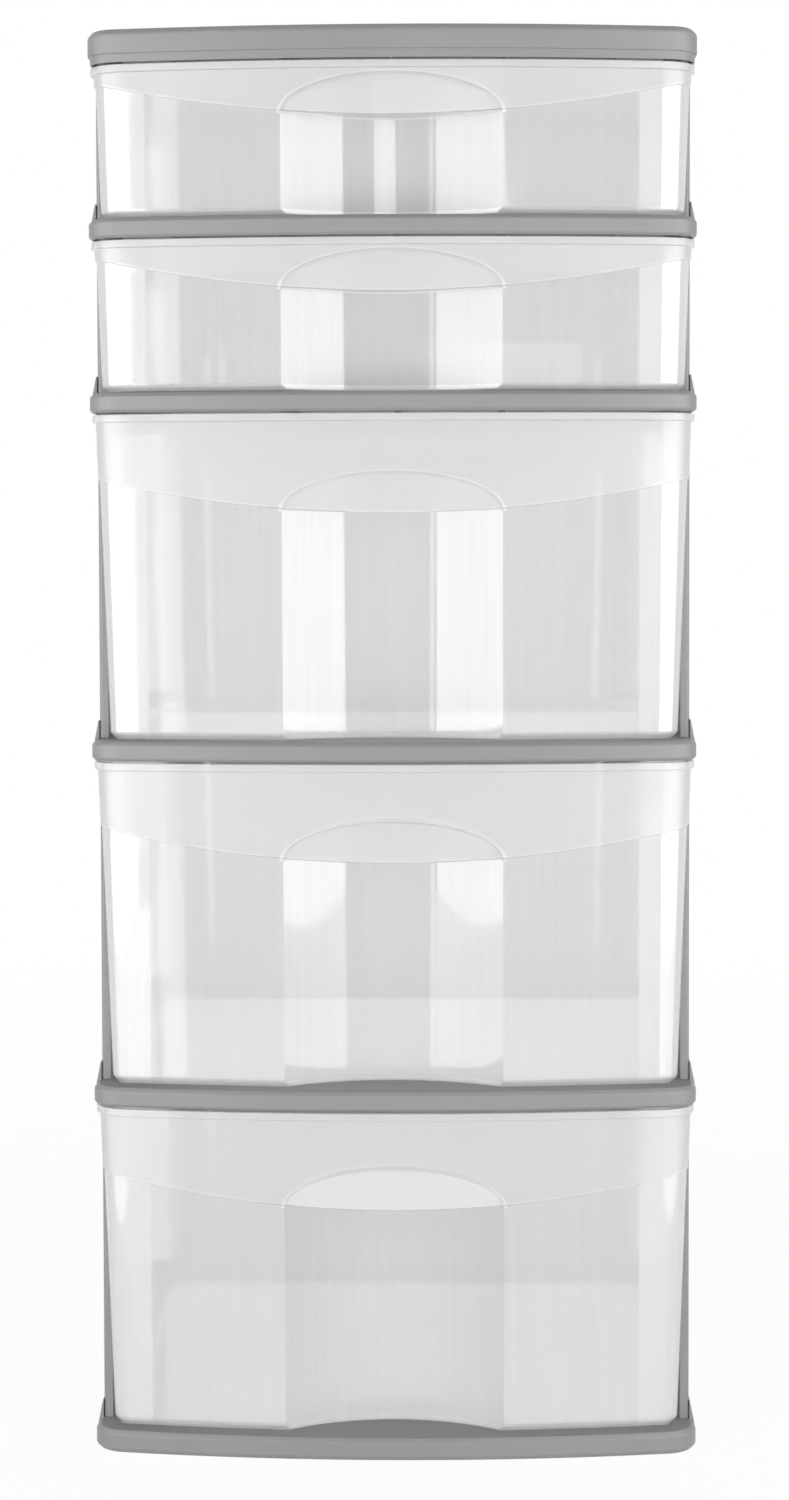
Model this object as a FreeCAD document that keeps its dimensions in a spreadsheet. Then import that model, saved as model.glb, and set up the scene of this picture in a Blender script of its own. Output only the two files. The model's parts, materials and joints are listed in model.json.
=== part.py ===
"""Plastic drawer tower: a grey frame of stacked shelves and wall panels, and five clear drawers.

X runs to the right, Y to the back and Z up. The origin is on the floor, in the middle of the tower.
All lengths are millimetres and all angles are degrees.
"""

import FreeCAD, Part

import math
import os
import re

import Sketcher

SIZES = {
    # Outer frame, seen from above: straight sides and back, bowed front, rounded corners.
    "tower_width": 320.0,
    "tower_depth": 370.0,
    "bow_radius": 800.0,
    "front_corner": 18.0,
    "back_corner": 3.0,
    # Storeys.
    "base_height": 12.0,
    "rail_height": 10.5,
    "lid_height": 17.5,
    "deep_opening": 172.5,
    "shallow_opening": 80.5,
    # Shelves, base and lid.
    "plate_thickness": 3.0,
    "skirt_thickness": 2.4,
    "base_wall": 4.0,
    "rail_bevel": 2.2,
    "rail_lower_bevel": 1.4,
    "base_bevel": 2.4,
    "lid_bevel": 3.0,
    "lip_height": 4.5,
    "lip_step": 1.2,
    "field_half_width": 101.0,
    "field_front_margin": 53.0,
    "field_back_margin": 58.0,
    "field_corner": 12.0,
    "field_sink": 1.0,
    "rib_thickness": 1.6,
    "rib_spacing": 60.0,
    "rib_front_margin": 8.0,
    "rib_back_margin": 14.0,
    "base_rib_thickness": 3.0,
    "base_rib_spacing": 80.0,
    "collar_height": 9.5,
    "collar_lip": 0.4,
    "stop_half_width": 13.0,
    "stop_depth": 8.0,
    "stop_margin": 50.0,
    "stop_lift": 1.0,
    # Wall panels.
    "panel_inset": 3.0,
    "panel_thickness": 3.0,
    "panel_bevel": 1.2,
    "flange_width": 2.0,
    "flange_depth": 3.0,
    "back_thickness": 2.5,
    "fit_clearance": 0.3,
    "relief_margin": 16.0,
    "relief_corner": 8.0,
    "relief_depth": 0.6,
    # Drawers.
    "glide_clearance": 0.3,
    "rim_gap": 1.0,
    "guide_clearance": 0.4,
    "shoulder_gap": 0.6,
    "shoulder_land": 2.0,
    "drawer_wall": 2.0,
    "draft_angle": 2.1,
    "tub_draft_angle": 1.2,
    "bottom_bevel": 3.2,
    "inner_bottom_bevel": 2.2,
    "face_inset": 2.5,
    "face_corner": 20.0,
    "band_step": 0.8,
    "deep_smile_drop": 53.0,
    "shallow_smile_drop": 28.8,
    "smile_reach": 150.0,
    "smile_sagitta": 16.5,
    "rim_height": 4.0,
    "rim_proud": 1.5,
    "side_rim_proud": 0.4,
    "tub_corner": 40.0,
    "pull_half_width": 57.5,
    "pull_rise": 21.0,
    "pull_depth": 23.0,
    "rear_room": 9.0,
    "rear_flange": 3.5,
    "curtain_thickness": 1.6,
    "curtain_drop": 5.3,
    "centre_tab_half_width": 84.0,
    "centre_tab_drop": 11.0,
    "tab_place": 131.0,
    "tab_radius": 9.0,
    "tab_drop": 10.3,
    "tab_rise": 3.5,
    "tab_reach": 17.5,
    # How far each cutting shape runs past the piece that it cuts.
    "overrun": 10.0,
}

DEEP_COUNT = 3
SHALLOW_COUNT = 2
TIER_COUNT = DEEP_COUNT + SHALLOW_COUNT
TAB_SIDES = 12
TINY = 1e-9

doc = FreeCAD.newDocument("DrawerTower")
sheet = doc.addObject("Spreadsheet::Sheet", "Sizes")
vector = FreeCAD.Vector

# Places that several pieces share, written as sums of the sizes above.
HALF_WIDTH = "(tower_width / 2)"
FRONT = "(-tower_depth / 2)"
BACK = "(tower_depth / 2)"
CHANNEL_DEPTH = "(rail_height - plate_thickness)"
PANEL_OUTSIDE = f"({HALF_WIDTH} - panel_inset)"
PANEL_INSIDE = f"({PANEL_OUTSIDE} - panel_thickness)"
FLANGE_INSIDE = f"({PANEL_INSIDE} - flange_width)"
BACK_OUTSIDE = f"({BACK} - panel_inset)"
BACK_INSIDE = f"({BACK_OUTSIDE} - back_thickness)"
FACE_HALF = f"({HALF_WIDTH} - face_inset)"
FACE_APEX = f"({FRONT} + face_inset)"
SHOULDER = (
    f"({FACE_APEX} + bow_radius + drawer_wall + shoulder_land"
    f" - sqrt((bow_radius - face_corner) ^ 2 - ({FACE_HALF} - face_corner) ^ 2))"
)
PANEL_FRONT = f"({SHOULDER} + shoulder_gap)"
SIDE_LENGTH = f"({BACK} - back_corner - {PANEL_FRONT})"
TUB_HALF = f"({FLANGE_INSIDE} - guide_clearance - side_rim_proud)"
TUB_BACK = f"({BACK_INSIDE} - rear_room - rear_flange)"
RIM_BACK = f"({TUB_BACK} + rear_flange)"
STOP_FRONT = f"({FRONT} + stop_margin)"
STOP_BACK = f"({STOP_FRONT} + stop_depth)"
TRAVEL = f"({RIM_BACK} - tab_reach - {STOP_BACK})"


def fill_sheet():
    """Write every driving size to the sheet as a number with its alias."""
    for row, (alias, number) in enumerate(SIZES.items(), start=1):
        sheet.set(f"A{row}", alias)
        sheet.set(f"B{row}", str(number))
        sheet.setAlias(f"B{row}", alias)
    doc.recompute()


def bound(text):
    """Return an expression whose size names point at the sheet."""
    return re.sub(r"[a-z_]+", lambda word: f"Sizes.{word[0]}" if word[0] in SIZES else word[0], text)


def value(text):
    """Work out an expression as a plain number."""
    return float(sheet.evalExpression(bound(text)))


def bind(thing, prop, text):
    """Tie a property of an object to an expression on the sheet."""
    thing.setExpression(prop, bound(text))


def floor_of(tier):
    """Return the height of the surface that tier 1 (top) to 5 (bottom) stands on."""
    deep_below = min(TIER_COUNT - tier, DEEP_COUNT)
    shallow_below = TIER_COUNT - tier - deep_below
    return (
        f"(base_height + {deep_below} * (deep_opening + rail_height)"
        f" + {shallow_below} * (shallow_opening + rail_height))"
    )


def opening_of(tier):
    """Return the clear height of a tier."""
    return "shallow_opening" if tier <= SHALLOW_COUNT else "deep_opening"


# Sketches

def body_sketch(body, name, role="XY_Plane", offset=None):
    """Add a sketch to a body, on one of its origin planes, moved along the plane's normal."""
    sketch = body.newObject("Sketcher::SketchObject", name)
    plane = next(item for item in body.Origin.OriginFeatures if item.Role == role)
    sketch.AttachmentSupport = [(plane, "")]
    sketch.MapMode = "FlatFace"
    if offset:
        bind(sketch, "AttachmentOffset.Base.z", offset)
    return sketch


def level_sketch(name, height="0"):
    """Add a free horizontal sketch at a height."""
    sketch = doc.addObject("Sketcher::SketchObject", name)
    bind(sketch, "Placement.Base.z", height)
    return sketch


def drive(sketch, kind, *where, text):
    """Add a constraint whose value is bound to an expression."""
    index = sketch.addConstraint(Sketcher.Constraint(kind, *where, value(text)))
    bind(sketch, f"Constraints[{index}]", text)


def pin(sketch, line, end, across, along):
    """Fix an end of a line at a place worked out from the sizes."""
    for kind, axis, text in (("DistanceX", -2, across), ("DistanceY", -1, along)):
        if abs(value(text)) < TINY:
            sketch.addConstraint(Sketcher.Constraint("PointOnObject", line, end, axis))
        else:
            drive(sketch, kind, -1, 1, line, end, text=text)


def polygon(sketch, points):
    """Draw a closed outline of straight lines through points given as pairs of expressions."""
    places = [vector(value(across), value(along), 0) for across, along in points]
    first = sketch.GeometryCount
    for number, place in enumerate(places):
        sketch.addGeometry(Part.LineSegment(place, places[(number + 1) % len(places)]), False)
    for number, (across, along) in enumerate(points):
        line = first + number
        following = first + (number + 1) % len(points)
        sketch.addConstraint(Sketcher.Constraint("Coincident", line, 2, following, 1))
        pin(sketch, line, 1, across, along)


def rectangle(sketch, left, right, low, high):
    """Draw a rectangle between four expressions."""
    polygon(sketch, [(left, low), (right, low), (right, high), (left, high)])


def arc(centre_x, centre_y, radius, start, end):
    """Return an anticlockwise arc between two angles in degrees."""
    circle = Part.Circle(vector(centre_x, centre_y, 0), vector(0, 0, 1), radius)
    return Part.ArcOfCircle(circle, math.radians(start), math.radians(end))


def link_chain(sketch, first, count, tangent_joints):
    """Join each piece of a closed chain to the next, smoothly where its number is listed."""
    for number in range(count):
        kind = "Tangent" if number in tangent_joints else "Coincident"
        following = first + (number + 1) % count
        sketch.addConstraint(Sketcher.Constraint(kind, first + number, 2, following, 1))


def bowed_outline(sketch, half, apex, bow, corner, back, back_corner=None):
    """Draw a closed outline with a bowed front, round front corners and a straight or cut-cornered back."""
    wide, front, radius, small, rear = (value(text) for text in (half, apex, bow, corner, back))
    turn = value(back_corner) if back_corner else 0.0
    lean = math.degrees(math.asin((wide - small) / (radius - small)))
    corner_y = front + radius - math.sqrt((radius - small) ** 2 - (wide - small) ** 2)
    bow_index, corner_index, side_index = 0, 1, 2
    pieces = [
        arc(0, front + radius, radius, 270 - lean, 270 + lean),
        arc(wide - small, corner_y, small, 270 + lean, 360),
        Part.LineSegment(vector(wide, corner_y, 0), vector(wide, rear - turn, 0)),
    ]
    if turn:
        pieces.append(Part.LineSegment(vector(wide, rear - turn, 0), vector(wide - turn, rear, 0)))
    back_index = len(pieces)
    pieces.append(Part.LineSegment(vector(wide - turn, rear, 0), vector(turn - wide, rear, 0)))
    if turn:
        pieces.append(Part.LineSegment(vector(turn - wide, rear, 0), vector(-wide, rear - turn, 0)))
    left_index = len(pieces)
    pieces.append(Part.LineSegment(vector(-wide, rear - turn, 0), vector(-wide, corner_y, 0)))
    pieces.append(arc(small - wide, corner_y, small, 180, 270 - lean))
    count = len(pieces)
    sketch.addGeometry(pieces, False)
    link_chain(sketch, 0, count, {bow_index, corner_index, left_index, count - 1})
    for line in (side_index, left_index):
        sketch.addConstraint(Sketcher.Constraint("Vertical", line))
    sketch.addConstraint(Sketcher.Constraint("Horizontal", back_index))
    sketch.addConstraint(Sketcher.Constraint("Equal", corner_index, count - 1))
    sketch.addConstraint(Sketcher.Constraint("PointOnObject", bow_index, 3, -2))
    drive(sketch, "Radius", bow_index, text=bow)
    drive(sketch, "Radius", corner_index, text=corner)
    drive(sketch, "DistanceX", -1, 1, side_index, 1, text=half)
    drive(sketch, "DistanceX", left_index, 1, -1, 1, text=half)
    drive(sketch, "DistanceY", -1, 1, bow_index, 3, text=f"({apex}) + ({bow})")
    drive(sketch, "DistanceY", back_index, 1, bow_index, 3, text=f"({apex}) + ({bow}) - ({back})")
    if turn:
        for cut, along_back, along_side in ((back_index - 1, 2, 1), (back_index + 1, 1, 2)):
            ends = (cut, along_back, cut, along_side)
            drive(sketch, "DistanceX", *(ends if cut < back_index else ends[2:] + ends[:2]), text=back_corner)
            drive(sketch, "DistanceY", cut, along_side, cut, along_back, text=back_corner)


def tub_outline(sketch, half, front, back, corner):
    """Draw a closed outline with a straight front and round rear corners."""
    wide, near, far, turn = (value(text) for text in (half, front, back, corner))
    pieces = [
        Part.LineSegment(vector(-wide, near, 0), vector(wide, near, 0)),
        Part.LineSegment(vector(wide, near, 0), vector(wide, far - turn, 0)),
        arc(wide - turn, far - turn, turn, 0, 90),
        Part.LineSegment(vector(wide - turn, far, 0), vector(turn - wide, far, 0)),
        arc(turn - wide, far - turn, turn, 90, 180),
        Part.LineSegment(vector(-wide, far - turn, 0), vector(-wide, near, 0)),
    ]
    sketch.addGeometry(pieces, False)
    link_chain(sketch, 0, len(pieces), {1, 2, 3, 4})
    for line in (1, 5):
        sketch.addConstraint(Sketcher.Constraint("Vertical", line))
    for line in (0, 3):
        sketch.addConstraint(Sketcher.Constraint("Horizontal", line))
    sketch.addConstraint(Sketcher.Constraint("Equal", 2, 4))
    drive(sketch, "Radius", 2, text=corner)
    drive(sketch, "DistanceX", -1, 1, 0, 2, text=half)
    drive(sketch, "DistanceX", 0, 1, -1, 1, text=half)
    drive(sketch, "DistanceY", -1, 1, 0, 2, text=front)
    drive(sketch, "DistanceY", 0, 2, 3, 1, text=f"({back}) - ({front})")


def trimmed_rectangle(sketch, left, right, low, high, corner):
    """Draw a rectangle with its corners cut off, between four expressions."""
    near, far = f"({left} + {corner})", f"({right} - {corner})"
    bottom, top = f"({low} + {corner})", f"({high} - {corner})"
    polygon(sketch, [
        (near, low), (far, low), (right, bottom), (right, top),
        (far, high), (near, high), (left, top), (left, bottom),
    ])


# Features of a body

def new_body(name, height):
    """Start a body whose own zero level stands at a height of the tower."""
    body = doc.addObject("PartDesign::Body", name)
    body.Label = name
    bind(body, "Placement.Base.z", height)
    return body


def add_feature(body, kind, name, sketch, length, reverse=False):
    """Add a pad or a pocket of a sketch."""
    feature = body.newObject(f"PartDesign::{kind}", name)
    feature.Profile = sketch
    feature.Reversed = reverse
    bind(feature, "Length", length)
    body.Tip = feature
    doc.recompute()
    return feature


def dress_edges(body, kind, name, prop, size, chosen):
    """Round or chamfer those edges of a body that a test picks."""
    base = body.Tip
    edges = [f"Edge{number}" for number, edge in enumerate(base.Shape.Edges, start=1) if chosen(edge)]
    feature = body.newObject(f"PartDesign::{kind}", name)
    feature.Base = (base, edges)
    bind(feature, prop, size)
    body.Tip = feature
    doc.recompute()
    return feature


def at_height(text):
    """Return a test for edges that lie wholly at one height of a body."""
    level = value(text)

    def chosen(edge):
        """Tell whether an edge lies at the height."""
        box = edge.BoundBox
        return abs(box.ZMin - level) < 1e-4 and abs(box.ZMax - level) < 1e-4

    return chosen


# Shelves, base and lid

def frame_outline(sketch, inset="0"):
    """Draw the tower's outline, or one that lies an even distance inside it."""
    bowed_outline(
        sketch,
        half=f"({HALF_WIDTH} - ({inset}))",
        apex=f"({FRONT} + ({inset}))",
        bow=f"(bow_radius - ({inset}))",
        corner=f"(front_corner - ({inset}))",
        back=f"({BACK} - ({inset}))",
        back_corner=f"(back_corner - ({inset}) * (2 - sqrt(2)))",
    )


def add_slab(body, name, height, level=None, inset="0"):
    """Pad the tower's outline from a level upwards."""
    sketch = body_sketch(body, f"{name}_outline", offset=level)
    frame_outline(sketch, inset)
    return add_feature(body, "Pad", f"{name}_pad", sketch, height)


def add_hollow(body, name, wall, depth):
    """Hollow a slab from below, leaving a skirt and a plate."""
    sketch = body_sketch(body, f"{name}_hollow")
    frame_outline(sketch, wall)
    return add_feature(body, "Pocket", f"{name}_pocket", sketch, depth, reverse=True)


def add_channel(body, name, depth):
    """Add the U of thin ribs under a plate that holds the tops of the wall panels."""
    inner = f"({PANEL_INSIDE} - fit_clearance - rib_thickness)"
    outer = f"({PANEL_INSIDE} - fit_clearance)"
    start = f"({PANEL_FRONT} + flange_depth + fit_clearance)"
    near = f"({BACK_INSIDE} - fit_clearance - rib_thickness)"
    far = f"({BACK_INSIDE} - fit_clearance)"
    sketch = body_sketch(body, f"{name}_ribs")
    polygon(sketch, [
        (f"-{inner}", start),
        (f"-{inner}", near),
        (inner, near),
        (inner, start),
        (outer, start),
        (outer, far),
        (f"-{outer}", far),
        (f"-{outer}", start),
    ])
    add_feature(body, "Pad", f"{name}_channel", sketch, depth)
    ribs = body_sketch(body, f"{name}_long_ribs")
    for number in (-1, 0, 1):
        middle = f"{number} * rib_spacing"
        rectangle(
            ribs,
            f"({middle} - rib_thickness / 2)",
            f"({middle} + rib_thickness / 2)",
            f"({FRONT} + rib_front_margin)",
            f"({BACK} - rib_back_margin)",
        )
    add_feature(body, "Pad", f"{name}_stiffening", ribs, depth)


def add_stops(body, name, depth):
    """Add the two lugs under a plate that the drawer's rear tabs meet."""
    sketch = body_sketch(body, f"{name}_stop_sketch", offset="stop_lift")
    for side in ("-1", "1"):
        rectangle(
            sketch,
            f"({side} * tab_place - stop_half_width)",
            f"({side} * tab_place + stop_half_width)",
            STOP_FRONT,
            STOP_BACK,
        )
    add_feature(body, "Pad", f"{name}_stops", sketch, f"({depth} - stop_lift)")


def add_collars(body, name, top, overlap):
    """Add the flared collars on a plate that hold the feet of the wall panels."""
    foot = f"({top} - {overlap})"
    crest = f"({top} + collar_height)"
    sides = body_sketch(body, f"{name}_side_collars", "XZ_Plane", f"-{PANEL_FRONT}")
    inside = f"({PANEL_OUTSIDE} + fit_clearance)"
    for side in ("-1", "1"):
        polygon(sides, [
            (f"{side} * {inside}", foot),
            (f"{side} * {HALF_WIDTH}", foot),
            (f"{side} * ({inside} + collar_lip)", crest),
            (f"{side} * {inside}", crest),
        ])
    add_feature(body, "Pad", f"{name}_side_collar", sides, SIDE_LENGTH, reverse=True)
    rear = body_sketch(body, f"{name}_rear_collars", "YZ_Plane", f"(back_corner - {HALF_WIDTH})")
    inside = f"({BACK_OUTSIDE} + fit_clearance)"
    polygon(rear, [
        (inside, foot),
        (BACK, foot),
        (f"({inside} + collar_lip)", crest),
        (inside, crest),
    ])
    add_feature(body, "Pad", f"{name}_rear_collar", rear, "(tower_width - 2 * back_corner)")


def add_field(body, name, top):
    """Sink the middle of a plate, between the strips that the drawer slides on."""
    sketch = body_sketch(body, f"{name}_field", offset=top)
    trimmed_rectangle(
        sketch,
        "-field_half_width",
        "field_half_width",
        f"({FRONT} + field_front_margin)",
        f"({BACK} - field_back_margin)",
        "field_corner",
    )
    add_feature(body, "Pocket", f"{name}_field_pocket", sketch, "field_sink")


def make_shelf(name, floor):
    """Make one divider: rail, plate, channels and stops below, collars above."""
    body = new_body(name, f"({floor} - rail_height)")
    add_slab(body, name, "rail_height")
    dress_edges(body, "Chamfer", f"{name}_upper_bevel", "Size", "rail_bevel", at_height("rail_height"))
    dress_edges(body, "Chamfer", f"{name}_lower_bevel", "Size", "rail_lower_bevel", at_height("0"))
    add_hollow(body, name, "skirt_thickness", CHANNEL_DEPTH)
    add_channel(body, name, CHANNEL_DEPTH)
    add_stops(body, name, CHANNEL_DEPTH)
    add_collars(body, name, "rail_height", "rail_bevel")
    add_field(body, name, "rail_height")
    return body


def make_base():
    """Make the base: rail, plate, crossed ribs below and collars above."""
    name = "base"
    body = new_body(name, "0")
    depth = "(base_height - plate_thickness)"
    add_slab(body, name, "base_height")
    dress_edges(body, "Chamfer", f"{name}_upper_bevel", "Size", "rail_bevel", at_height("base_height"))
    dress_edges(body, "Chamfer", f"{name}_lower_bevel", "Size", "base_bevel", at_height("0"))
    add_hollow(body, name, "base_wall", depth)
    lengthwise = body_sketch(body, f"{name}_long_ribs")
    for number in (-1, 0, 1):
        middle = f"{number} * base_rib_spacing"
        rectangle(
            lengthwise,
            f"({middle} - base_rib_thickness / 2)",
            f"({middle} + base_rib_thickness / 2)",
            f"({FRONT} + rib_front_margin)",
            f"({BACK} - base_wall)",
        )
    add_feature(body, "Pad", f"{name}_stiffening", lengthwise, depth)
    crosswise = body_sketch(body, f"{name}_cross_ribs")
    for number in (-1, 0, 1):
        middle = f"{number} * base_rib_spacing"
        rectangle(
            crosswise,
            f"(base_wall - {HALF_WIDTH})",
            f"({HALF_WIDTH} - base_wall)",
            f"({middle} - base_rib_thickness / 2)",
            f"({middle} + base_rib_thickness / 2)",
        )
    add_feature(body, "Pad", f"{name}_crossing", crosswise, depth)
    add_collars(body, name, "base_height", "rail_bevel")
    add_field(body, name, "base_height")
    return body


def make_lid():
    """Make the lid: crown, stepped-back lip, channels and stops below."""
    name = "top_lid"
    body = new_body(name, f"({floor_of(1)} + shallow_opening)")
    depth = "(lid_height - plate_thickness)"
    add_slab(body, f"{name}_crown", "(lid_height - lip_height)", level="lip_height")
    dress_edges(body, "Chamfer", f"{name}_crown_bevel", "Size", "lid_bevel", at_height("lid_height"))
    add_slab(body, f"{name}_lip", "lip_height", inset="lip_step")
    add_hollow(body, name, "skirt_thickness", depth)
    add_channel(body, name, depth)
    add_stops(body, name, depth)
    return body


# Wall panels

def add_relief(body, name, role, offset, left, right, top, reverse):
    """Sink a shallow field with cut corners in a panel's outer face."""
    field = body_sketch(body, f"{name}_field", role, offset)
    trimmed_rectangle(
        field,
        f"({left} + relief_margin)",
        f"({right} - relief_margin)",
        "relief_margin",
        f"({top} - relief_margin)",
        "relief_corner",
    )
    add_feature(body, "Pocket", f"{name}_relief", field, "relief_depth", reverse)


def make_side_panel(name, side, tier):
    """Make one side wall with its inward front return."""
    body = new_body(name, floor_of(tier))
    top = f"({opening_of(tier)} + {CHANNEL_DEPTH} - fit_clearance)"
    plan = body_sketch(body, f"{name}_plan")
    polygon(plan, [
        (f"{side} * {PANEL_OUTSIDE}", PANEL_FRONT),
        (f"{side} * {PANEL_OUTSIDE}", BACK_OUTSIDE),
        (f"{side} * {PANEL_INSIDE}", BACK_OUTSIDE),
        (f"{side} * {PANEL_INSIDE}", f"({PANEL_FRONT} + flange_depth)"),
        (f"{side} * {FLANGE_INSIDE}", f"({PANEL_FRONT} + flange_depth)"),
        (f"{side} * {FLANGE_INSIDE}", PANEL_FRONT),
    ])
    add_feature(body, "Pad", f"{name}_wall", plan, top)
    edge_x = value(f"{side} * {PANEL_OUTSIDE}")

    def outer_corner(edge):
        """Tell whether an edge is one of the wall's upright outer corners."""
        box = edge.BoundBox
        return box.YLength < 1e-4 and box.XLength < 1e-4 and abs(box.XMin - edge_x) < 1e-4

    dress_edges(body, "Chamfer", f"{name}_corner_bevels", "Size", "panel_bevel", outer_corner)
    add_relief(body, name, "YZ_Plane", f"{side} * {PANEL_OUTSIDE}", PANEL_FRONT, BACK_OUTSIDE,
               opening_of(tier), side < 0)
    return body


def make_back_panel(name, tier):
    """Make one back wall, which stands between the two side walls."""
    body = new_body(name, floor_of(tier))
    half = f"({PANEL_INSIDE} - fit_clearance)"
    plan = body_sketch(body, f"{name}_plan")
    rectangle(plan, f"-{half}", half, BACK_INSIDE, BACK_OUTSIDE)
    top = f"({opening_of(tier)} + {CHANNEL_DEPTH} - fit_clearance)"
    add_feature(body, "Pad", f"{name}_wall", plan, top)
    add_relief(body, name, "XZ_Plane", f"-{BACK_OUTSIDE}", f"(-{half})", half, opening_of(tier), True)
    return body


# Drawers

def solid(kind, name, **bindings):
    """Add a primitive whose sizes are bound; a double underscore stands for a dot."""
    thing = doc.addObject(f"Part::{kind}", name)
    for prop, text in bindings.items():
        bind(thing, prop.replace("__", "."), text)
    return thing


def box(name, left, right, near, far, low, high):
    """Add a box between six expressions."""
    return solid(
        "Box",
        name,
        Length=f"({right}) - ({left})",
        Width=f"({far}) - ({near})",
        Height=f"({high}) - ({low})",
        Placement__Base__x=left,
        Placement__Base__y=near,
        Placement__Base__z=low,
    )


def lay_along_y(thing):
    """Turn a primitive so that its own Y points up and its axis runs from back to front."""
    thing.Placement = FreeCAD.Placement(vector(), FreeCAD.Rotation(vector(1, 0, 0), 90))


def extrude(name, base, direction, length):
    """Extrude a closed outline."""
    thing = doc.addObject("Part::Extrusion", name)
    thing.Base = base
    thing.DirMode = "Custom"
    thing.Dir = direction
    thing.Solid = True
    bind(thing, "LengthFwd", length)
    return thing


def fuse(name, *shapes):
    """Join several solids."""
    thing = doc.addObject("Part::MultiFuse", name)
    thing.Shapes = list(shapes)
    return thing


def combine(kind, name, base, tool):
    """Cut one solid from another, or keep what they share."""
    thing = doc.addObject(f"Part::{kind}", name)
    thing.Base = base
    thing.Tool = tool
    return thing


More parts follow.
